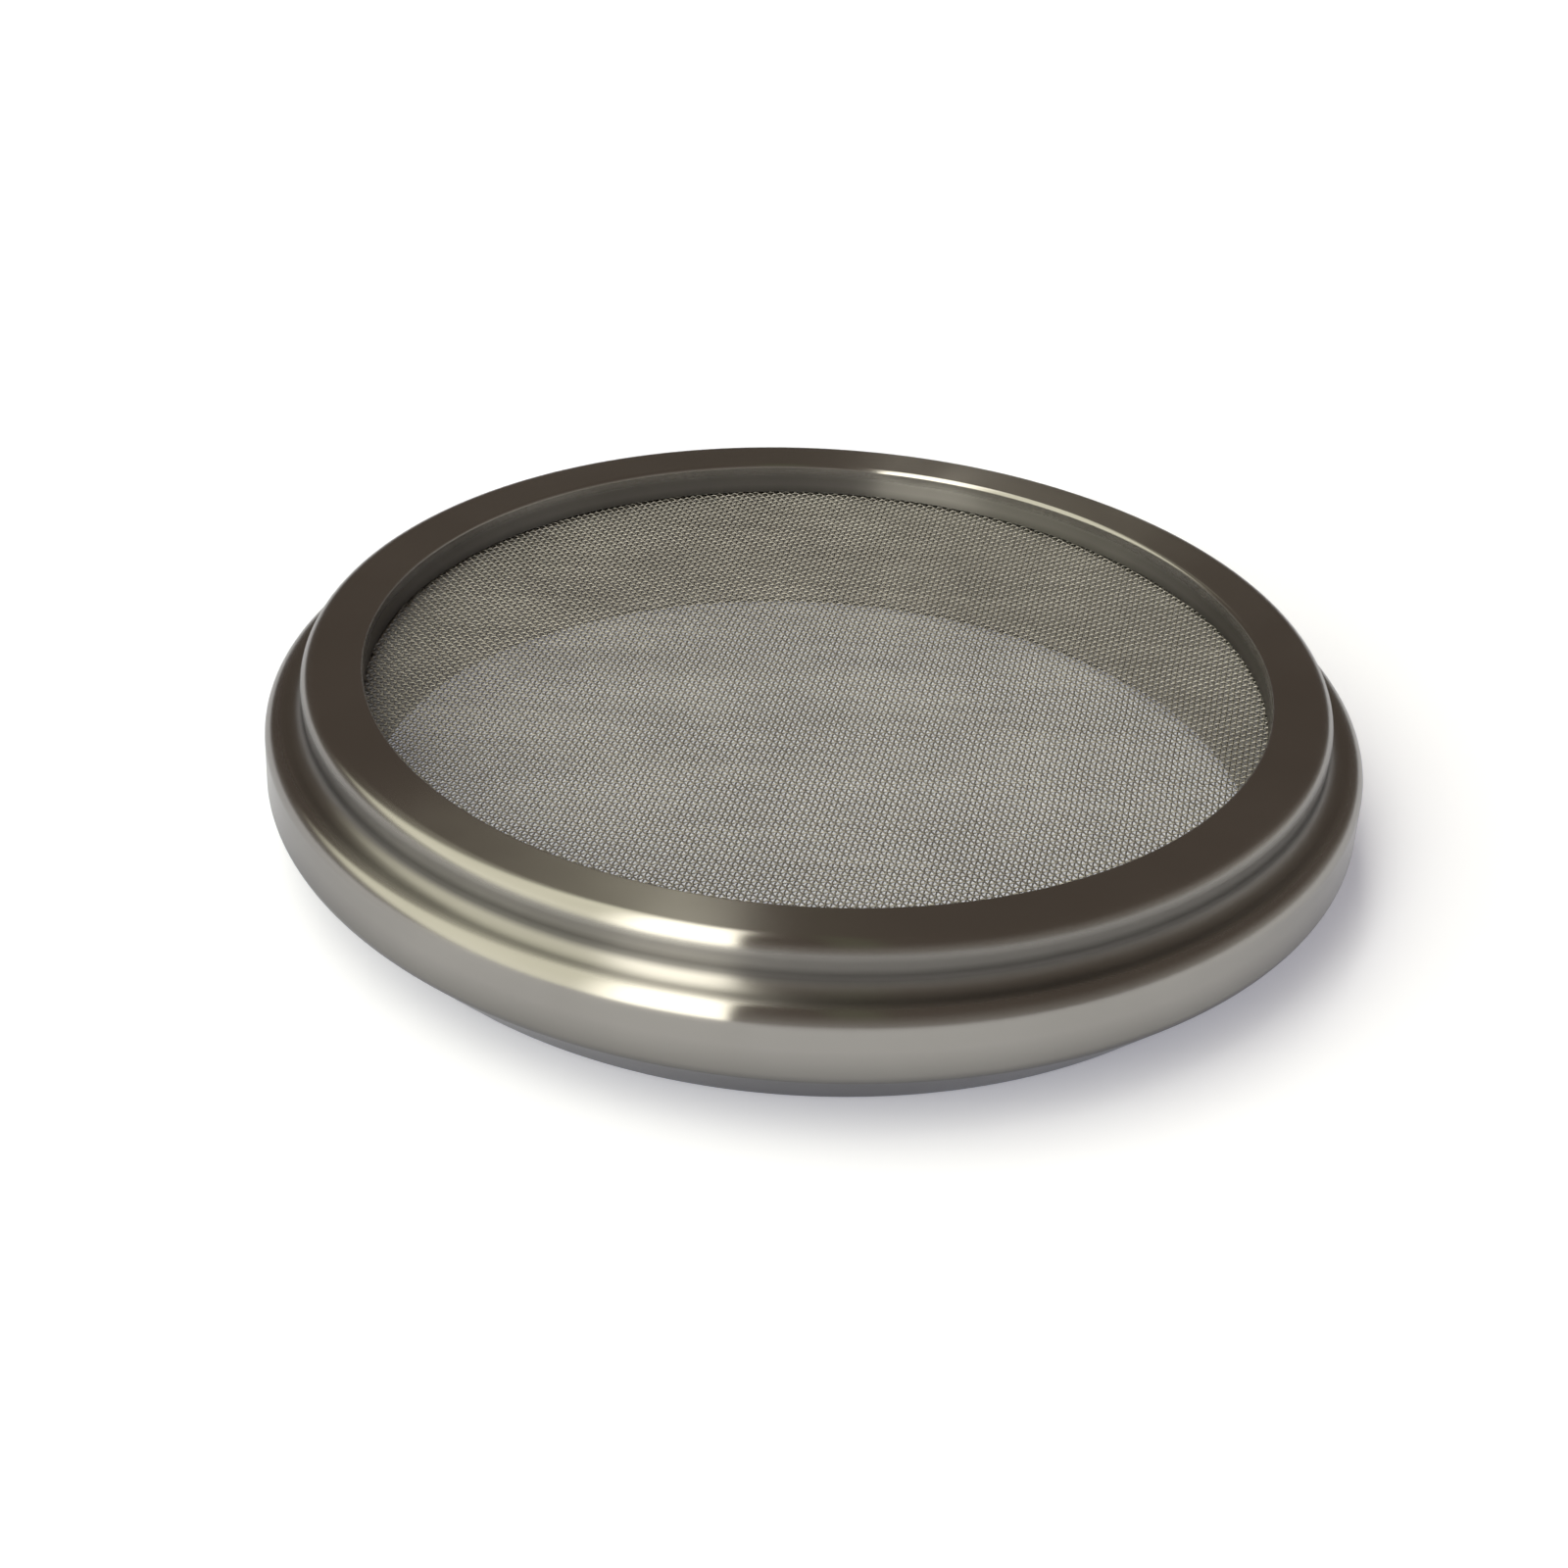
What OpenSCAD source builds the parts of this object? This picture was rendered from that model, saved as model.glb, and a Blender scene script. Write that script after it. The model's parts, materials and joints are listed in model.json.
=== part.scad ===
// Turned ring sieve: a heavy flanged ring that holds a flat screen of woven wire.
// The ring stands on its base, centred on the Z axis. The screen lies under a
// shoulder near the top, and a sleeve pressed in from below clamps its edge.

/* [Body ring] */
// Bore of the lip, above the screen
bore_d = 82.2; // [60:0.1:150]
// Wall of the lip, from its bore to its outside
lip_w = 5.6; // [5.1:0.1:12]
// Height of the lip above the ledge of the flange
lip_h = 4.4; // [3.2:0.1:12]
// Width by which the flange stands out past the lip
ledge_w = 3.3; // [3.2:0.1:10]
// Height of the ledge above the base
flange_h = 12.3; // [9:0.1:30]
// Both legs of the bevel under the flange
base_bevel = 6; // [1:0.1:6.5]
// Rounding of the lip's outer edge
lip_round = 1.5; // [0.4:0.1:2.9]
// Rounding of the lip's inner edge, at the bore
bore_round = 0.4; // [0.1:0.1:1.5]
// Fillet where the lip meets the ledge
root_fillet = 1.4; // [0.4:0.1:1.5]
// Rounding of the flange's upper edge
edge_round = 1.7; // [0.4:0.1:1.8]
// Softening of the two corners of the bevel
bevel_round = 1.4; // [0.3:0.1:2.4]

/* [Screen seat] */
// Depth of the screen's seat below the top of the lip
seat_depth = 3; // [1:0.1:8]
// Width of the shoulder that the screen's edge lies under
shoulder_w = 1.7; // [0.8:0.1:2.4]

/* [Clamp ring] */
// Wall of the pressed-in sleeve
clamp_w = 1.7; // [1:0.1:6]
// Distance of the sleeve's lower end above the base
clamp_recess = 1; // [0.2:0.1:4]
// Rounding of the sleeve's lower inner edge
clamp_round = 0.8; // [0.2:0.1:0.9]
// Lead-in bevel of the sleeve's upper outer edge
clamp_lead = 0.5; // [0.1:0.1:0.9]

/* [Woven screen] */
// Distance between the middles of neighbouring wires
wire_pitch = 4.84; // [3.4:0.01:12]
// Thickness of a wire, across its corners
wire_d = 0.5; // [0.2:0.05:0.8]
// Gap between two wires where they cross
weave_gap = 0.06; // [0.03:0.01:0.3]
// Distance of the wire ends from the seat's wall
wire_end_gap = 0.2; // [0.1:0.05:0.6]
// Turn of the weave about the ring's axis, in degrees
weave_turn = -10; // [-45:1:45]

/* [Hidden] */
$fn = 128;

// Radial gap left in the press fit between sleeve and seat
press_gap = 0.02;
// Gap left above and below the cloth in its seat
seat_gap = 0.05;
// Overrun of every cut past the face that it leaves
over = 1;
// Each rounding stands this far proud of a tangent arc, so that it crosses its sides cleanly
arc_stand = 0.0005;
// Sides of a wire's section, with a flat above and below
wire_sides = 6;

bore_r = bore_d / 2;
lip_r = bore_r + lip_w;
flange_r = lip_r + ledge_w;
base_r = flange_r - base_bevel;
seat_r = bore_r + shoulder_w;
body_h = flange_h + lip_h;
shoulder_z = body_h - seat_depth;

// A wire swings this far to each side of the middle of the cloth
crimp = (wire_d + weave_gap) / 2;
cloth_h = 2 * crimp + wire_d * cos(180 / wire_sides);
screen_z = shoulder_z - seat_gap - cloth_h / 2;

clamp_top = screen_z - cloth_h / 2 - seat_gap;
clamp_outer_r = seat_r - press_gap;
clamp_bore_r = clamp_outer_r - clamp_w;

wire_reach = seat_r - wire_end_gap;
// Wires on each side of the middle one, as many as the bore takes
wire_rows = floor(bore_r / wire_pitch);

inward = [-1, 0];
outward = [1, 0];
up = [0, 1];
down = [0, -1];
bevel_up = (outward + up) / norm(outward + up);

// What lies between a corner and the arc that rounds it. The two sides leave
// the corner along the unit vectors side_a and side_b. Taken off a corner it
// rounds it, and added in a corner it fills it.
module corner_web(corner, side_a, side_b, radius) {
    half_angle = acos(side_a * side_b) / 2;
    middle = (side_a + side_b) / norm(side_a + side_b);
    centre = corner + middle * (radius / sin(half_angle) - arc_stand);
    to_a = corner + side_a * radius / tan(half_angle) - centre;
    to_b = corner + side_b * radius / tan(half_angle) - centre;
    past = (radius + over) / radius;
    difference() {
        polygon([centre, centre + to_a * past, corner - middle * over, centre + to_b * past]);
        translate(centre) circle(r = radius);
    }
}

// Half section of the turned body, in radius and height
module body_profile() {
    difference() {
        union() {
            polygon([
                [seat_r, 0],
                [base_r, 0],
                [flange_r, base_bevel],
                [flange_r, flange_h],
                [lip_r, flange_h],
                [lip_r, body_h],
                [bore_r, body_h],
                [bore_r, shoulder_z],
                [seat_r, shoulder_z],
            ]);
            corner_web([lip_r, flange_h], up, outward, root_fillet);
        }
        corner_web([lip_r, body_h], inward, down, lip_round);
        corner_web([bore_r, body_h], outward, down, bore_round);
        corner_web([flange_r, flange_h], inward, down, edge_round);
        corner_web([flange_r, base_bevel], up, -bevel_up, bevel_round);
        corner_web([base_r, 0], bevel_up, inward, bevel_round);
    }
}

module body_ring() {
    color("#8c8880") rotate_extrude() body_profile();
}

// Half section of the sleeve, with a lead-in at the end that enters first
module clamp_profile() {
    difference() {
        polygon([
            [clamp_bore_r, clamp_recess],
            [clamp_outer_r, clamp_recess],
            [clamp_outer_r, clamp_top - clamp_lead],
            [clamp_outer_r - clamp_lead, clamp_top],
            [clamp_bore_r, clamp_top],
        ]);
        corner_web([clamp_bore_r, clamp_recess], outward, up, clamp_round);
    }
}

module clamp_ring() {
    color("#77736c") rotate_extrude() clamp_profile();
}

// Height of a wire's middle at the distance run along it. It passes over one
// crossing wire and under the next; side is 1 or -1 and says which comes first.
function crimp_height(run, side) = side * crimp * cos(180 * run / wire_pitch);

// Half the length of the wire that runs at the given offset from the axis
function half_length(offset) = sqrt(wire_reach * wire_reach - offset * offset);

// Places along a wire: its two ends, and every crossing between them
function stations(offset) =
    let (
        end = half_length(offset),
        inner = [for (j = [-wire_rows:wire_rows]) if (abs(j * wire_pitch) < end - wire_d) j * wire_pitch]
    )
    concat([-end], inner, [end]);

// Corners of a wire's section at one place along it
function section(run, offset, side) = [
    for (k = [0:wire_sides - 1])
        let (angle = 360 * k / wire_sides)
        [
            run,
            offset + wire_d / 2 * cos(angle),
            crimp_height(run, side) + wire_d / 2 * sin(angle)
        ]
];

// One crimped wire, an unbroken tube along X through all of its places
module wire(offset, side) {
    runs = stations(offset);
    last = len(runs) - 1;
    points = [for (run = runs) each section(run, offset, side)];
    skin = [
        for (i = [0:last - 1], k = [0:wire_sides - 1])
            let (
                a = i * wire_sides + k,
                b = i * wire_sides + (k + 1) % wire_sides
            )
            each [[a, a + wire_sides, b], [b, a + wire_sides, b + wire_sides]]
    ];
    start_cap = [for (k = [1:wire_sides - 2]) [0, k, k + 1]];
    end_cap = [
        for (k = [1:wire_sides - 2])
            [last * wire_sides, last * wire_sides + k + 1, last * wire_sides + k]
    ];
    polyhedron(points, concat(start_cap, skin, end_cap));
}

// One set of parallel wires, each starting on the other side from its neighbours
module wire_set(side) {
    for (i = [-wire_rows:wire_rows])
        wire(i * wire_pitch, side * cos(180 * i));
}

module warp_wires() {
    color("#a8a49c")
        translate([0, 0, screen_z])
        rotate([0, 0, weave_turn])
        wire_set(1);
}

module weft_wires() {
    color("#98948c")
        translate([0, 0, screen_z])
        rotate([0, 0, weave_turn + 90])
        wire_set(-1);
}

open_gaps = [
    for (i = [-wire_rows:wire_rows - 1], j = [-wire_rows:wire_rows - 1])
        if (norm([i + 0.5, j + 0.5]) * wire_pitch < bore_r) 1
];
echo(wires_each_way = 2 * wire_rows + 1, whole_gaps = len(open_gaps), gap_width = wire_pitch - wire_d);

body_ring();
clamp_ring();
warp_wires();
weft_wires();
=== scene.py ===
# %% [markdown]
# # A turned ring sieve
# A heavy ring is turned from stainless steel, a flat screen of fine woven wire lies under
# a shoulder in its bore, and a sleeve pressed in from below holds the screen. This lesson
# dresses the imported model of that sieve: turned surfaces, a real weave and a studio. The
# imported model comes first, because every new piece is built round its sizes.

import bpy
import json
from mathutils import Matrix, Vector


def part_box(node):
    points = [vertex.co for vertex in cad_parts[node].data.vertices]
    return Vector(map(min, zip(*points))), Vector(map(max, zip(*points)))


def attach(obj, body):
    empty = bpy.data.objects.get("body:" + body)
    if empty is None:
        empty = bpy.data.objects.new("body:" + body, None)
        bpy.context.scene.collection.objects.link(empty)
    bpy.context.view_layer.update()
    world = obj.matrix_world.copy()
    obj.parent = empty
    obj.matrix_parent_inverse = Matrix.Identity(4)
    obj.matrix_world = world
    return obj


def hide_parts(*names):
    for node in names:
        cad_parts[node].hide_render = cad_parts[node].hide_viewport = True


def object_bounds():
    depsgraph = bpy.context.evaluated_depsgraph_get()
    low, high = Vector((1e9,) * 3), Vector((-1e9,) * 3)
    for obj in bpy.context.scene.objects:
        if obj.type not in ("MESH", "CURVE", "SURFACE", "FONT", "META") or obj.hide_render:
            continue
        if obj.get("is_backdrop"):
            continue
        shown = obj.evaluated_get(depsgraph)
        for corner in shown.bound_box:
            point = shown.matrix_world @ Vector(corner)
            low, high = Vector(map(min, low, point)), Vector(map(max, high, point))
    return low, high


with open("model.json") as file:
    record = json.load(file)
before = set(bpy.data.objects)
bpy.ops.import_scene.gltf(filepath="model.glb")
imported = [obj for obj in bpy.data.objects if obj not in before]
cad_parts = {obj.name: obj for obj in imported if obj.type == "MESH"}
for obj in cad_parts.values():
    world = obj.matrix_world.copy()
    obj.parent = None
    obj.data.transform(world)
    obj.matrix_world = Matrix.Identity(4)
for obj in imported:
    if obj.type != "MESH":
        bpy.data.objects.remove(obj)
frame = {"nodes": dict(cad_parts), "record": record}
cad_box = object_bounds()
print("nodes:", sorted(frame["nodes"]))

# %% Modules that the cells use
import json
from math import cos, floor, pi, radians, sin, sqrt, tan

import bmesh
import bpy
import numpy as np
from mathutils import Matrix, Vector

# %% [markdown]
# ## Sizes
# Blender works in metres here, and a maker thinks in millimetres, so every length below
# is written as a number times MM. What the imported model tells, such as the bores and the
# height, is read from it, because a size typed twice is a size that goes wrong once. It
# doesn't tell the ledge's height, the seat's depth or the roundings, so those few are
# typed here again.

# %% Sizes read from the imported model
MM = 0.001
radii = {m["name"]: m["dims"]["r_mm"] * MM for m in frame["record"]["mounts"] if "r_mm" in m["dims"]}
bore_r = radii["inlet_bore"]
lip_r = radii["lip_spigot"]
flange_r = radii["flange_rim"]
sleeve_bore_r = radii["outlet_bore"]
body_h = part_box("body_ring")[1].z
sleeve_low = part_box("clamp_ring")[0].z
print(f"flange {2000 * flange_r:.1f} mm across, bore {2000 * bore_r:.1f} mm, {1000 * body_h:.1f} mm high")

# %% Sizes of the turned corners, set by comparing with the photograph
flange_h = 12.3 * MM
base_bevel = 6 * MM
lip_round = 1.5 * MM
bore_round = 0.4 * MM
root_fillet = 1.4 * MM
edge_round = 1.7 * MM
bevel_round = 1.4 * MM
wall_lean = radians(5)
seat_depth = 3 * MM
print(f"the ledge is {1000 * flange_h:.1f} mm above the base")

# %% Sizes of the hidden seat and sleeve, which are guessed
shoulder_w = 1.7 * MM
press_gap = 0.02 * MM
sleeve_round = 0.8 * MM
sleeve_lead = 0.5 * MM
seat_r = bore_r + shoulder_w
shoulder_z = body_h - seat_depth
print(f"the screen's shoulder is {1000 * shoulder_z:.1f} mm above the base")

# %% Sizes of the woven cloth, which is taken to be common 50-mesh
wire_pitch = 0.5 * MM
wire_r = 0.078 * MM
weave_gap = 0.004 * MM
cloth_drop = 0.14 * MM
end_gap = 0.2 * MM
weave_turn = -10
crimp = wire_r + weave_gap / 2
cloth_z = shoulder_z - cloth_drop - crimp - wire_r
cloth_reach = seat_r - end_gap
wire_rows = floor(cloth_reach / wire_pitch)
print(f"{2 * wire_rows + 1} wires each way, cloth {2000 * (crimp + wire_r):.2f} mm thick")

# %% [markdown]
# ## Turned pieces
# On the lathe a tool follows one half section while the blank spins. A bmesh can do the
# same: a few vertices mark the corners of the half section, a vertex bevel rounds each
# corner, and one full spin sweeps the outline round the Z axis. Rounding after the spin
# would also work, but it would bevel hundreds of edges where one vertex does the job.

# %% A rounded half section
ARC_STEPS = 12


def round_corner(outline, corner, radius):
    """Rounds one corner of a wire outline with an arc that touches both its sides."""
    sides = [(edge.other_vert(corner).co - corner.co).normalized() for edge in corner.link_edges]
    half_angle = sides[0].angle(sides[1]) / 2
    bmesh.ops.bevel(
        outline,
        geom=[corner],
        offset=radius / tan(half_angle),
        offset_type="OFFSET",
        affect="VERTICES",
        segments=ARC_STEPS,
        profile=0.5,
        clamp_overlap=False,
        material=-1,
    )


def half_section(corners):
    """A closed outline in the XZ plane from (radius, height, rounding) corners."""
    outline = bmesh.new()
    verts = [outline.verts.new((x, 0, z)) for x, z, _ in corners]
    for here, there in zip(verts, verts[1:] + verts[:1]):
        outline.edges.new((here, there))
    for vert, (_, _, radius) in zip(verts, corners):
        if radius > 0:
            round_corner(outline, vert, radius)
    return outline


# %% One full turn of the half section
TURN_STEPS = 288
SHARP_ANGLE = radians(25)


def finish_mesh(name, mesh):
    """An object for a finished mesh, standing at the origin, riding on the one body."""
    piece = bpy.data.objects.new(name, mesh)
    bpy.context.scene.collection.objects.link(piece)
    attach(piece, "root")
    return piece


def turned_piece(name, corners):
    """Spins a half section into a closed ring with crisp flats between its roundings."""
    ring = half_section(corners)
    bmesh.ops.spin(
        ring,
        geom=ring.verts[:] + ring.edges[:],
        axis=(0, 0, 1),
        cent=(0, 0, 0),
        angle=2 * pi,
        steps=TURN_STEPS,
        use_merge=True,
    )
    bmesh.ops.recalc_face_normals(ring, faces=ring.faces[:])
    mesh = bpy.data.meshes.new(name)
    ring.to_mesh(mesh)
    ring.free()
    mesh.shade_smooth()
    mesh.set_sharp_from_angle(angle=SHARP_ANGLE)
    piece = finish_mesh(name, mesh)
    weights = piece.modifiers.new("flat_faces_first", "WEIGHTED_NORMAL")
    weights.keep_sharp = True
    apply_modifiers(piece)
    print(name, "has", len(piece.data.polygons), "faces")
    return piece


def apply_modifiers(piece):
    """Puts what the modifiers make into the piece's own mesh."""
    graph = bpy.context.evaluated_depsgraph_get()
    made = bpy.data.meshes.new_from_object(
        piece.evaluated_get(graph), preserve_all_data_layers=True, depsgraph=graph
    )
    made.name = piece.name
    piece.modifiers.clear()
    piece.data = made


# %% [markdown]
# ### The body ring
# The body is one turning: a bevelled base, an upright flange, a stepped lip and a bore
# with a shoulder for the screen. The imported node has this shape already, but its facets
# are cut for a fixed tolerance and a polished ring shows every one of them in its
# reflections. So the same section is spun again, finer, and stands for the node. One
# thing is added: the lip's wall leans in by five degrees towards its root, as a tool that
# is set a little askew leaves it. The lean is too small to see as a shape, but it turns
# the wall's reflection down from the floor to the ledge, and that darkens it.

# %% Turn the body ring
lip_top_r = lip_r + lip_round * tan(wall_lean)
body_ring = turned_piece(
    "turned_body_ring",
    [
        (seat_r, 0, 0),
        (flange_r - base_bevel, 0, bevel_round),
        (flange_r, base_bevel, bevel_round),
        (flange_r, flange_h, edge_round),
        (lip_top_r - (body_h - flange_h) * tan(wall_lean), flange_h, root_fillet),
        (lip_top_r, body_h, lip_round),
        (bore_r, body_h, bore_round),
        (bore_r, shoulder_z, 0),
        (seat_r, shoulder_z, 0),
    ],
)
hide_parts("body_ring")

# %% [markdown]
# ### The sleeve
# The sleeve is pressed in from below until it pinches the screen against the shoulder.
# Its upper outer edge has a lead-in bevel and its lower inner edge is rounded for the
# fingers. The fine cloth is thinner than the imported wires, so here the sleeve goes up to
# the cloth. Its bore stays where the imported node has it.

# %% Turn the sleeve
sleeve_r = seat_r - press_gap
sleeve_top = cloth_z - crimp - wire_r - press_gap
sleeve = turned_piece(
    "pressed_sleeve",
    [
        (sleeve_bore_r, sleeve_low, sleeve_round),
        (sleeve_r, sleeve_low, 0),
        (sleeve_r, sleeve_top - sleeve_lead, 0),
        (sleeve_r - sleeve_lead, sleeve_top, 0),
        (sleeve_bore_r, sleeve_top, 0),
    ],
)
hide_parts("clamp_ring")

# %% [markdown]
# ## The woven screen
# Plain weave: each wire passes over one crossing wire and under the next, and its
# neighbour does the opposite. A texture could fake it, but from a low angle the screen
# is all knuckles and gaps, so every wire is real. A wire only needs to be level while
# it rests on a crossing wire, so two points for each crossing are enough, a quarter of
# the pitch to either side of it. The tube between two crossings then slopes by itself.

# %% How the stretched cloth strays from a perfect grid
RIPPLE_COUNT = 9
ripple_seed = np.random.default_rng(7)
ripple_waves = ripple_seed.uniform(5 * MM, 22 * MM, RIPPLE_COUNT)
ripple_turns = ripple_seed.normal(radians(90), radians(22), RIPPLE_COUNT)
ripple_phases = ripple_seed.uniform(0, 2 * pi, (3, RIPPLE_COUNT))
ripple_slope = 0.008
drift_reach = 0.05 * MM


def ripple(x, y, phases):
    """A smooth random swell of about unit height, still at the clamped edge."""
    total = np.zeros_like(x)
    for length, turn, phase in zip(ripple_waves, ripple_turns, phases):
        total += np.sin(2 * pi * (x * np.cos(turn) + y * np.sin(turn)) / length + phase)
    held = np.clip(1 - (x * x + y * y) / bore_r**2, 0, 1)
    return total * np.sqrt(held) / sqrt(RIPPLE_COUNT)


# %% Points along one wire
KNUCKLE_SHARE = 0.25


def wire_points(row, first_side):
    """Places along the wire in the given row, before the weave is turned."""
    offset = row * wire_pitch
    half = sqrt(cloth_reach**2 - offset**2)
    last = floor(half / wire_pitch - KNUCKLE_SHARE)
    crossings = np.arange(-last, last + 1)
    run = (crossings[:, None] + np.array([-KNUCKLE_SHARE, KNUCKLE_SHARE])).ravel() * wire_pitch
    height = np.repeat(np.where((crossings + row) % 2, -1, 1), 2) * first_side * crimp
    run = np.concatenate([[-half], run, [half]])
    height = np.concatenate([[0], height, [0]])
    return run, np.full_like(run, offset), height


# %% A band of wires as one mesh
TUBE_DETAIL = 1


def wire_band(name, rows, turn, first_side):
    """Sweeps a round tube along each wire of the rows and joins them as one piece."""
    curve = bpy.data.curves.new(name, "CURVE")
    curve.dimensions = "3D"
    curve.twist_mode = "Z_UP"
    curve.bevel_depth = wire_r
    curve.bevel_resolution = TUBE_DETAIL
    curve.use_fill_caps = True
    for row in rows:
        run, offset, height = wire_points(row, first_side)
        x = run * cos(turn) - offset * sin(turn)
        y = run * sin(turn) + offset * cos(turn)
        swell = ripple(x, y, ripple_phases[0]) * ripple_slope * ripple_waves.mean() / (2 * pi)
        places = np.stack(
            [
                x + ripple(x, y, ripple_phases[1]) * drift_reach,
                y + ripple(x, y, ripple_phases[2]) * drift_reach,
                cloth_z + height + swell,
                np.ones_like(x),
            ],
            axis=1,
        )
        spline = curve.splines.new("POLY")
        spline.points.add(len(places) - 1)
        spline.points.foreach_set("co", places.ravel())
    swept = bpy.data.objects.new(name, curve)
    graph = bpy.context.evaluated_depsgraph_get()
    mesh = bpy.data.meshes.new_from_object(swept.evaluated_get(graph), depsgraph=graph)
    bpy.data.objects.remove(swept)
    bpy.data.curves.remove(curve)
    mesh.name = name
    mesh.shade_smooth()
    return finish_mesh(name, mesh)


# %% Weave both directions
BANDS = 3
all_rows = range(-wire_rows, wire_rows + 1)
screen = []
for direction, turn, first_side in (("warp", weave_turn, 1), ("weft", weave_turn + 90, -1)):
    for band in range(BANDS):
        name = f"{direction}_wires_{band + 1}"
        piece = wire_band(name, all_rows[band::BANDS], radians(turn), first_side)
        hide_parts(f"{direction}_wires")
        screen.append(piece)
        print(piece.name, "has", len(piece.data.polygons), "faces")

# %% [markdown]
# ## Finishes
# All three pieces are stainless steel, but each was worked in another way. A lathe tool
# leaves rings of fine lines, so light smears across them and stays sharp along them.
# That is what anisotropy is for. The lines themselves are a noise that only knows the
# distance from the axis and the height, and one shader group makes them for both
# turned pieces. Tone and roughness also follow the height, with a ramp for each. The
# darker tone on the bevel, towards the flange's foot, at the root of the lip and on its
# wall is painted shade, for the shadowed floor and the dim room that these places
# mirror. The sleeve is painted darker towards its top, under the cloth. The steel is also
# rougher from the ledge to the lip's edge. The stops were set by comparing renders with
# the photograph. The wire is drawn through a die, so its streaks run along it.

# %% Small helpers for shader nodes
def new_node(tree, kind, settings=None, inputs=None):
    """Adds a node and sets its options and the values of its sockets."""
    node = tree.nodes.new(kind)
    for name, value in (settings or {}).items():
        setattr(node, name, value)
    for name, value in (inputs or {}).items():
        node.inputs[name].default_value = value
    return node


def ranged(tree, value, low, high, start=0.0, end=1.0, smooth=False):
    """Maps a value that runs from start to end onto low to high."""
    node = new_node(
        tree,
        "ShaderNodeMapRange",
        {"interpolation_type": "SMOOTHSTEP" if smooth else "LINEAR"},
        {"From Min": start, "From Max": end, "To Min": low, "To Max": high},
    )
    tree.links.new(value, node.inputs["Value"])
    return node.outputs["Result"]


# %% The lathe's lines and the polisher's patches, as a shader group
def lathe_marks_group():
    """Lines that run round the axis, and soft patches that the polish left."""
    group = bpy.data.node_groups.new("lathe_marks", "ShaderNodeTree")
    group.interface.new_socket("Place", in_out="INPUT", socket_type="NodeSocketVector")
    group.interface.new_socket("Lines per metre", in_out="INPUT", socket_type="NodeSocketFloat")
    group.interface.new_socket("Lines", in_out="OUTPUT", socket_type="NodeSocketFloat")
    group.interface.new_socket("Patches", in_out="OUTPUT", socket_type="NodeSocketFloat")
    group.interface.new_socket("Height", in_out="OUTPUT", socket_type="NodeSocketFloat")
    given = group.nodes.new("NodeGroupInput")
    result = group.nodes.new("NodeGroupOutput")
    across = new_node(group, "ShaderNodeVectorMath", {"operation": "MULTIPLY"})
    across.inputs[1].default_value = (1, 1, 0)
    group.links.new(given.outputs["Place"], across.inputs[0])
    radius = new_node(group, "ShaderNodeVectorMath", {"operation": "LENGTH"})
    group.links.new(across.outputs["Vector"], radius.inputs[0])
    place = group.nodes.new("ShaderNodeSeparateXYZ")
    group.links.new(given.outputs["Place"], place.inputs[0])
    group.links.new(place.outputs["Z"], result.inputs["Height"])
    section = group.nodes.new("ShaderNodeCombineXYZ")
    group.links.new(radius.outputs["Value"], section.inputs["X"])
    group.links.new(place.outputs["Z"], section.inputs["Y"])
    lines = new_node(
        group, "ShaderNodeTexNoise", {"noise_dimensions": "2D"}, {"Detail": 3, "Roughness": 0.6}
    )
    group.links.new(section.outputs["Vector"], lines.inputs["Vector"])
    group.links.new(given.outputs["Lines per metre"], lines.inputs["Scale"])
    group.links.new(lines.outputs["Fac"], result.inputs["Lines"])
    patches = new_node(group, "ShaderNodeTexNoise", inputs={"Scale": 70, "Detail": 2, "Distortion": 0.4})
    group.links.new(given.outputs["Place"], patches.inputs["Vector"])
    group.links.new(patches.outputs["Fac"], result.inputs["Patches"])
    return group


lathe_marks = lathe_marks_group()
print("lathe_marks gives", [s.name for s in lathe_marks.interface.items_tree if s.in_out == "OUTPUT"])


# %% Painted shade and roughness over the height, in millimetres above the base
# Painted shade: a tone below 1 darkens the steel on the bevel, towards the flange's foot, at the lip's
# root and on its wall, for the shadowed floor and the dim room that these places mirror.
BEVEL_PAINTED_SHADE = [(5.2, 0.36), (6.4, 0.58), (7.8, 0.76)]
FLANGE_PAINTED_SHADE = [(9, 0.88), (11, 0.9), (12, 1), (12.8, 0.9)]
LIP_PAINTED_SHADE = [(13.3, 0.46), (13.8, 0.5), (14.5, 0.72), (15.2, 0.68), (15.6, 0.76), (16.1, 1)]
BODY_PAINTED_SHADE = BEVEL_PAINTED_SHADE + FLANGE_PAINTED_SHADE + LIP_PAINTED_SHADE
FLANGE_ROUGHNESS = [(12.1, 0.17), (12.28, 0.31)]
LIP_ROUGHNESS = [(15.4, 0.31), (16.1, 0.18), (16.45, 0.17), (16.69, 0.195)]
BODY_ROUGHNESS = FLANGE_ROUGHNESS + LIP_ROUGHNESS
# The sleeve's tone is lighter at its lower edge, and its darkening towards its top, under the cloth, is
# painted shade.
SLEEVE_PAINTED_SHADE = [(1.2, 1), (3, 0.85), (12.5, 0.85), (13.2, 0.7)]
SLEEVE_ROUGHNESS = [(1.2, 0.26), (3, 0.3)]


def by_height(tree, height, stops):
    """A grey that follows the stops, each a height in millimetres and a value."""
    ramp = tree.nodes.new("ShaderNodeValToRGB")
    while len(ramp.color_ramp.elements) < len(stops):
        ramp.color_ramp.elements.new(0.5)
    for element, (level, value) in zip(ramp.color_ramp.elements, stops):
        element.position = level * MM / body_h
        element.color = (value, value, value, 1)
    tree.links.new(ranged(tree, height, 0, 1, end=body_h), ramp.inputs["Fac"])
    return ramp.outputs["Color"]


print("the body's tone has", len(BODY_PAINTED_SHADE), "stops and its roughness has", len(BODY_ROUGHNESS))

# %% Steel that was turned on a lathe
STEEL_EDGE_TINT = (0.7, 0.7, 0.72, 1)
QUARTER_TURN = 0.25
PATCH_ROUGHNESS = 0.02


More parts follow.
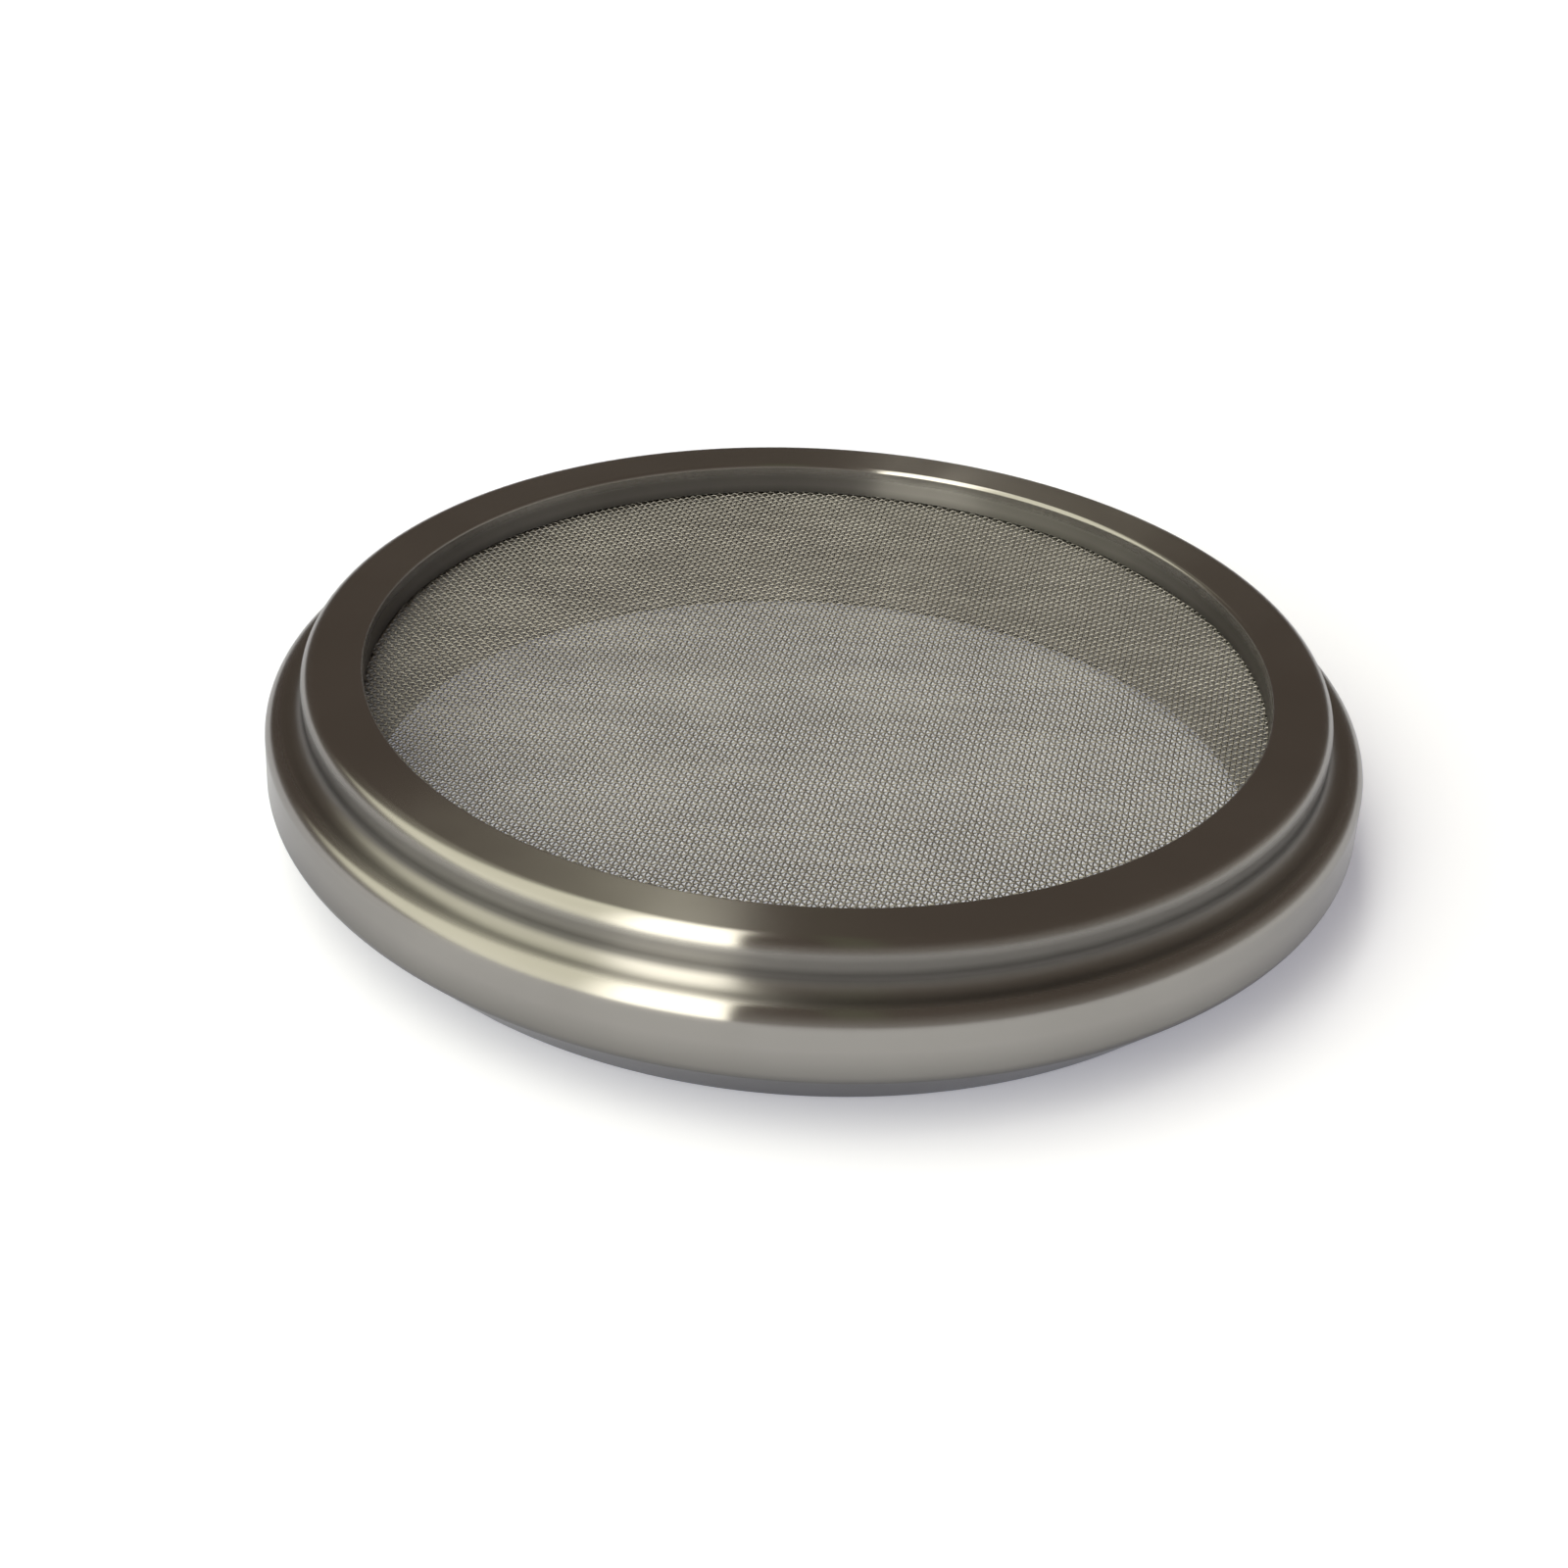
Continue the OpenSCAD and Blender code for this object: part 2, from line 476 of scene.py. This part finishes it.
def turned_steel(name, light_tone, dark_tone, painted_shade_stops, rough_stops, lines_per_metre, line_depth):
    """A steel whose rings of fine lines smear light towards and away from the axis."""
    material = bpy.data.materials.new(name)
    material.use_nodes = True
    tree = material.node_tree
    shader = tree.nodes["Principled BSDF"]
    shader.inputs["Metallic"].default_value = 1
    shader.inputs["Specular Tint"].default_value = STEEL_EDGE_TINT
    shader.inputs["Anisotropic"].default_value = 1
    shader.inputs["Anisotropic Rotation"].default_value = QUARTER_TURN
    tangent = new_node(tree, "ShaderNodeTangent", {"direction_type": "RADIAL", "axis": "Z"})
    tree.links.new(tangent.outputs["Tangent"], shader.inputs["Tangent"])
    place = tree.nodes.new("ShaderNodeTexCoord")
    marks = new_node(
        tree, "ShaderNodeGroup", {"node_tree": lathe_marks}, {"Lines per metre": lines_per_metre}
    )
    tree.links.new(place.outputs["Object"], marks.inputs["Place"])
    tone = new_node(tree, "ShaderNodeMix", {"data_type": "RGBA"})
    tone.inputs["A"].default_value = dark_tone
    tone.inputs["B"].default_value = light_tone
    patchy = ranged(tree, marks.outputs["Patches"], 0, 1, start=0.35, end=0.65)
    tree.links.new(patchy, tone.inputs["Factor"])
    # Painted shade: the height ramp darkens the steel's own patchy tone by the height.
    patches_and_painted_shade = new_node(tree, "ShaderNodeMix", {"data_type": "RGBA", "blend_type": "MULTIPLY"}, {"Factor": 1})
    height = marks.outputs["Height"]
    tree.links.new(tone.outputs["Result"], patches_and_painted_shade.inputs["A"])
    tree.links.new(by_height(tree, height, painted_shade_stops), patches_and_painted_shade.inputs["B"])
    tree.links.new(patches_and_painted_shade.outputs["Result"], shader.inputs["Base Color"])
    rough = new_node(tree, "ShaderNodeMath", {"operation": "ADD"})
    tree.links.new(by_height(tree, height, rough_stops), rough.inputs[0])
    patches = marks.outputs["Patches"]
    uneven = ranged(tree, patches, -PATCH_ROUGHNESS, PATCH_ROUGHNESS, start=0.3, end=0.7)
    tree.links.new(uneven, rough.inputs[1])
    tree.links.new(rough.outputs["Value"], shader.inputs["Roughness"])
    grooves = new_node(tree, "ShaderNodeBump", inputs={"Strength": 1, "Distance": line_depth})
    tree.links.new(marks.outputs["Lines"], grooves.inputs["Height"])
    tree.links.new(grooves.outputs["Normal"], shader.inputs["Normal"])
    return material


# %% [markdown]
# ### The wire's finish
# Drawn wire is satin: the die leaves streaks along it, and each length is a little paler
# or darker than the next. A noise that is stretched along the wires gives both at once,
# because its streaks are about as wide as the distance from wire to wire. The warp and
# the weft run across each other, so each has a material of its own, turned its own way.

# %% Steel wire that was drawn through a die
DARK_WIRE = (0.28, 0.267, 0.245, 1)
LIGHT_WIRE = (0.40, 0.385, 0.358, 1)
WIRE_ROUGHNESS = (0.42, 0.5)


def drawn_wire(name, turn):
    """Bright wire with faint streaks along it, each wire a little unlike the next."""
    material = bpy.data.materials.new(name)
    material.use_nodes = True
    tree = material.node_tree
    shader = tree.nodes["Principled BSDF"]
    shader.inputs["Metallic"].default_value = 1
    place = tree.nodes.new("ShaderNodeTexCoord")
    along = new_node(
        tree, "ShaderNodeMapping", inputs={"Rotation": (0, 0, -turn), "Scale": (30, 1800, 1)}
    )
    tree.links.new(place.outputs["Object"], along.inputs["Vector"])
    streaks = new_node(
        tree, "ShaderNodeTexNoise", {"noise_dimensions": "2D"}, {"Scale": 1, "Detail": 2}
    )
    tree.links.new(along.outputs["Vector"], streaks.inputs["Vector"])
    clouds = new_node(tree, "ShaderNodeTexNoise", inputs={"Scale": 90, "Detail": 3})
    tree.links.new(place.outputs["Object"], clouds.inputs["Vector"])
    both = new_node(tree, "ShaderNodeMath", {"operation": "ADD"})
    tree.links.new(streaks.outputs["Fac"], both.inputs[0])
    tree.links.new(clouds.outputs["Fac"], both.inputs[1])
    tone = new_node(tree, "ShaderNodeMix", {"data_type": "RGBA"})
    tone.inputs["A"].default_value = DARK_WIRE
    tone.inputs["B"].default_value = LIGHT_WIRE
    mixed = ranged(tree, both.outputs["Value"], 0, 1, start=0.75, end=1.25)
    tree.links.new(mixed, tone.inputs["Factor"])
    tree.links.new(tone.outputs["Result"], shader.inputs["Base Color"])
    satin = ranged(tree, streaks.outputs["Fac"], *WIRE_ROUGHNESS, start=0.3, end=0.7)
    tree.links.new(satin, shader.inputs["Roughness"])
    return material


# %% Dress the pieces
body_steel = turned_steel(
    "turned_stainless",
    light_tone=(0.33, 0.32, 0.305, 1),
    dark_tone=(0.305, 0.295, 0.28, 1),
    painted_shade_stops=BODY_PAINTED_SHADE,
    rough_stops=BODY_ROUGHNESS,
    lines_per_metre=5200,
    line_depth=0.0004 * MM,
)
sleeve_steel = turned_steel(
    "sleeve_stainless",
    light_tone=(0.37, 0.355, 0.33, 1),
    dark_tone=(0.33, 0.315, 0.29, 1),
    painted_shade_stops=SLEEVE_PAINTED_SHADE,
    rough_stops=SLEEVE_ROUGHNESS,
    lines_per_metre=3600,
    line_depth=0.002 * MM,
)
body_ring.data.materials.append(body_steel)
sleeve.data.materials.append(sleeve_steel)
wire_steel = {
    "warp": drawn_wire("warp_stainless", radians(weave_turn)),
    "weft": drawn_wire("weft_stainless", radians(weave_turn + 90)),
}
for piece in screen:
    piece.data.materials.append(wire_steel[piece.name.split("_")[0]])
print("dressed:", body_ring.name, sleeve.name, [piece.name for piece in screen])

# %% [markdown]
# ## The studio
# Polished steel has hardly a colour of its own: it shows the room. So the room is built
# as a sky that the steel can mirror: dim warm walls, a tall softbox in front to the left,
# a wider and weaker one beside it, and four faint glows. Laying such lights out by
# compass and height is guesswork, because a ring shows them bent. A mirror ball makes it
# easy: it shows the whole room, and each place on it has the slope of one place on the
# ring. So the sky is laid out by the turn and the tilt on the ball that shows each part.
# The wide pale floor is the background. It goes on in a low white band of the sky.

# %% Turn and tilt on a mirror ball, seen from the camera's side of the room
view_rise = 31.05


def ball_place(tree):
    """Turn and tilt of the place on a mirror ball that shows each part of the sky."""
    sky = tree.nodes.new("ShaderNodeTexCoord")
    middle = new_node(tree, "ShaderNodeVectorMath", {"operation": "ADD"})
    tree.links.new(sky.outputs["Generated"], middle.inputs[0])
    middle.inputs[1].default_value = (0, -cos(radians(view_rise)), sin(radians(view_rise)))
    normal = new_node(tree, "ShaderNodeVectorMath", {"operation": "NORMALIZE"})
    tree.links.new(middle.outputs["Vector"], normal.inputs[0])
    parts = tree.nodes.new("ShaderNodeSeparateXYZ")
    tree.links.new(normal.outputs["Vector"], parts.inputs[0])
    turn = new_node(tree, "ShaderNodeMath", {"operation": "ARCTAN2"})
    tree.links.new(parts.outputs["Y"], turn.inputs[0])
    tree.links.new(parts.outputs["X"], turn.inputs[1])
    tilt = new_node(tree, "ShaderNodeMath", {"operation": "ARCSINE"})
    tree.links.new(parts.outputs["Z"], tilt.inputs[0])
    return turn.outputs["Value"], tilt.outputs["Value"]


def above(tree, value, start, soft):
    """0 below the angle in degrees and 1 above it, with a soft step between."""
    return ranged(tree, value, 0, 1, radians(start - soft / 2), radians(start + soft / 2), smooth=True)


def below(tree, value, end, soft):
    """1 below the angle in degrees and 0 above it, with a soft step between."""
    return ranged(tree, value, 1, 0, radians(end - soft / 2), radians(end + soft / 2), smooth=True)


def calculated(tree, operation, first, second):
    """The result of one calculation, of which the second number may be a plain value."""
    node = new_node(tree, "ShaderNodeMath", {"operation": operation})
    tree.links.new(first, node.inputs[0])
    if isinstance(second, (int, float)):
        node.inputs[1].default_value = second
    else:
        tree.links.new(second, node.inputs[1])
    return node.outputs["Value"]


def bordered(tree, turn, tilt, borders):
    """Masks for a light's borders: left and right by the turn, low and high by the tilt."""
    steps = {"left": (above, turn), "right": (below, turn), "low": (above, tilt), "high": (below, tilt)}
    return [steps[side][0](tree, steps[side][1], *border) for side, border in borders.items()]


def add_light(tree, colour, masks, tone, strength):
    """Adds a light to the sky's colour where all its masks are 1."""
    mask = masks[0]
    for other in masks[1:]:
        mask = calculated(tree, "MULTIPLY", mask, other)
    factor = calculated(tree, "MULTIPLY", mask, strength)
    adding = {"data_type": "RGBA", "blend_type": "ADD", "clamp_factor": False}
    lit = new_node(tree, "ShaderNodeMix", adding)
    tree.links.new(factor, lit.inputs["Factor"])
    tree.links.new(colour, lit.inputs["A"])
    lit.inputs["B"].default_value = tone
    return lit.outputs["Result"]


# %% The table goes on to the horizon
HORIZON_RISE = 2.5
HORIZON_SOFT = 0.5


def white_below(tree, colour, rise):
    """The sky's colour, but white below the given elevation, where the table goes on."""
    sky = tree.nodes.new("ShaderNodeTexCoord")
    parts = tree.nodes.new("ShaderNodeSeparateXYZ")
    tree.links.new(sky.outputs["Generated"], parts.inputs[0])
    horizon = new_node(tree, "ShaderNodeMix", {"data_type": "RGBA"})
    low = ranged(tree, parts.outputs["Z"], 1, 0, sin(radians(rise)), sin(radians(rise + HORIZON_SOFT)))
    tree.links.new(low, horizon.inputs["Factor"])
    tree.links.new(colour, horizon.inputs["A"])
    horizon.inputs["B"].default_value = (1, 1, 1, 1)
    return horizon.outputs["Result"]


# %% The room's lights, each border as its angle on the mirror ball and its softness, in degrees
ROOM_TONE = (0.178, 0.144, 0.117, 1)
TALL_TONE = (1.0, 0.98, 0.85, 1)
WIDE_TONE = (1.0, 1.0, 0.80, 1)
GLOW_TONE = (1.0, 0.98, 0.92, 1)
GREEN_TONE = (0.6, 1.0, 0.45, 1)
TALL_SOFTBOX = {"left": (-110.5, 7), "right": (-97.2, 1), "low": (6, 16), "high": (77, 8)}
TAPER_MIDDLE = 46
TAPER_POINT = (-152, 14)
TAPER_RIGHT = (-110.5, 7)
TOP_GLOW = {"left": (-152, 14), "right": (-114, 8), "low": (66, 14)}
FRONT_GLOW = {"left": (-170, 20), "right": (-5, 20), "high": (36, 34)}
RIGHT_GLOW = {"left": (-44, 24), "right": (-5, 20), "high": (36, 34)}
GREEN_GLOW = {"left": (-87, 3), "right": (-81, 3), "low": (40, 24)}


def tapered(tree, turn, tilt):
    """Masks for the wide softbox, which tapers to a point on the left."""
    above_middle = calculated(tree, "SUBTRACT", tilt, radians(TAPER_MIDDLE))
    off_middle = calculated(tree, "ABSOLUTE", above_middle, 0)
    wedge = calculated(tree, "SUBTRACT", turn, off_middle)
    return [above(tree, wedge, *TAPER_POINT), below(tree, turn, *TAPER_RIGHT)]


def make_world():
    """The sky: a dim room with its two softboxes and its glows, white at the horizon."""
    world = bpy.data.worlds.new("studio_room")
    world.use_nodes = True
    tree = world.node_tree
    tree.nodes.clear()
    turn, tilt = ball_place(tree)
    room = new_node(tree, "ShaderNodeRGB")
    room.outputs["Color"].default_value = ROOM_TONE
    colour = room.outputs["Color"]
    colour = add_light(tree, colour, bordered(tree, turn, tilt, TALL_SOFTBOX), TALL_TONE, strength=4.3)
    colour = add_light(tree, colour, tapered(tree, turn, tilt), WIDE_TONE, strength=1.65)
    colour = add_light(tree, colour, bordered(tree, turn, tilt, TOP_GLOW), WIDE_TONE, strength=0.3)
    colour = add_light(tree, colour, bordered(tree, turn, tilt, FRONT_GLOW), GLOW_TONE, strength=0.26)
    colour = add_light(tree, colour, bordered(tree, turn, tilt, RIGHT_GLOW), GLOW_TONE, strength=0.28)
    colour = add_light(tree, colour, bordered(tree, turn, tilt, GREEN_GLOW), GREEN_TONE, strength=0.06)
    colour = white_below(tree, colour, HORIZON_RISE)
    light = tree.nodes.new("ShaderNodeBackground")
    tree.links.new(colour, light.inputs["Color"])
    out = tree.nodes.new("ShaderNodeOutputWorld")
    tree.links.new(light.outputs["Background"], out.inputs["Surface"])
    bpy.context.scene.world = world


make_world()
print("the sky has", len(bpy.context.scene.world.node_tree.nodes), "nodes")

# %% [markdown]
# ### The floor
# The ring stands on a pale table, and the steel mirrors that table more than anything
# else. A grey floor under strong lamps would look white too, but then the lamps would
# bleach the steel. So the floor is a plain pale disc under plain light, and it gives off
# a little light of its own where the camera or a mirroring surface looks at it. The
# shadow of the ring stays, because only the disc's paint takes it.

# %% The pale floor
FLOOR_R = 6
FLOOR_TONE = (0.88, 0.9, 0.98, 1)
FLOOR_LIFT = (0.21, 0.215, 0.25, 1)


def make_floor():
    """A pale disc that keeps the ring's shadow and looks white where nothing shades it."""
    disc = bmesh.new()
    bmesh.ops.create_circle(disc, cap_ends=True, segments=96, radius=FLOOR_R)
    mesh = bpy.data.meshes.new("floor")
    disc.to_mesh(mesh)
    disc.free()
    floor_piece = bpy.data.objects.new("floor", mesh)
    bpy.context.scene.collection.objects.link(floor_piece)
    floor_piece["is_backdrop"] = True
    material = bpy.data.materials.new("pale_floor")
    material.use_nodes = True
    tree = material.node_tree
    tree.nodes.clear()
    paint = new_node(tree, "ShaderNodeBsdfDiffuse", inputs={"Color": FLOOR_TONE})
    lift = new_node(tree, "ShaderNodeEmission", inputs={"Color": FLOOR_LIFT})
    seen = tree.nodes.new("ShaderNodeLightPath")
    rays = seen.outputs["Is Camera Ray"]
    for name in ("Is Glossy Ray", "Is Transmission Ray"):
        either = new_node(tree, "ShaderNodeMath", {"operation": "MAXIMUM"})
        tree.links.new(rays, either.inputs[0])
        tree.links.new(seen.outputs[name], either.inputs[1])
        rays = either.outputs["Value"]
    tree.links.new(rays, lift.inputs["Strength"])
    both = tree.nodes.new("ShaderNodeAddShader")
    tree.links.new(paint.outputs["BSDF"], both.inputs[0])
    tree.links.new(lift.outputs["Emission"], both.inputs[1])
    out = tree.nodes.new("ShaderNodeOutputMaterial")
    tree.links.new(both.outputs["Shader"], out.inputs["Surface"])
    mesh.materials.append(material)


make_floor()
bpy.context.scene.view_settings.view_transform = "Standard"

# %% [markdown]
# ## The camera
# The photograph looks down on the ring from close by, with the camera held a little
# askew. Its numbers come from fitting the ring's edges in the photograph: the rise, the
# roll, the distance and the ring's place in the frame set the camera, and the focal
# length sets how strongly the ring's near side outgrows its far side.

# %% Place the camera
view_roll = 3.03
view_distance = 269.31 * MM
ring_right = 2.412 * MM
ring_down = 2.628 * MM
focal_length = 65.73
sensor_w = 36

lens = bpy.data.cameras.new("camera")
lens.lens = focal_length
lens.sensor_width = sensor_w
camera = bpy.data.objects.new("camera", lens)
bpy.context.scene.collection.objects.link(camera)
aim = Matrix.Rotation(radians(90 - view_rise), 3, "X") @ Matrix.Rotation(radians(view_roll), 3, "Z")
ring_place = Vector((ring_right, -ring_down, -view_distance))
camera.matrix_world = Matrix.Translation(aim @ -ring_place) @ aim.to_4x4()
bpy.context.scene.camera = camera
print("camera at", [round(1000 * value, 1) for value in camera.matrix_world.translation], "mm")

# %% Measure the dressed model's box and print how far it reaches past the imported one
look_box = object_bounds()
growth = [look_box[end][axis] - cad_box[end][axis] for end in (0, 1) for axis in range(3)]
print("growth, mm:", [round(1000 * length, 3) for length in growth])
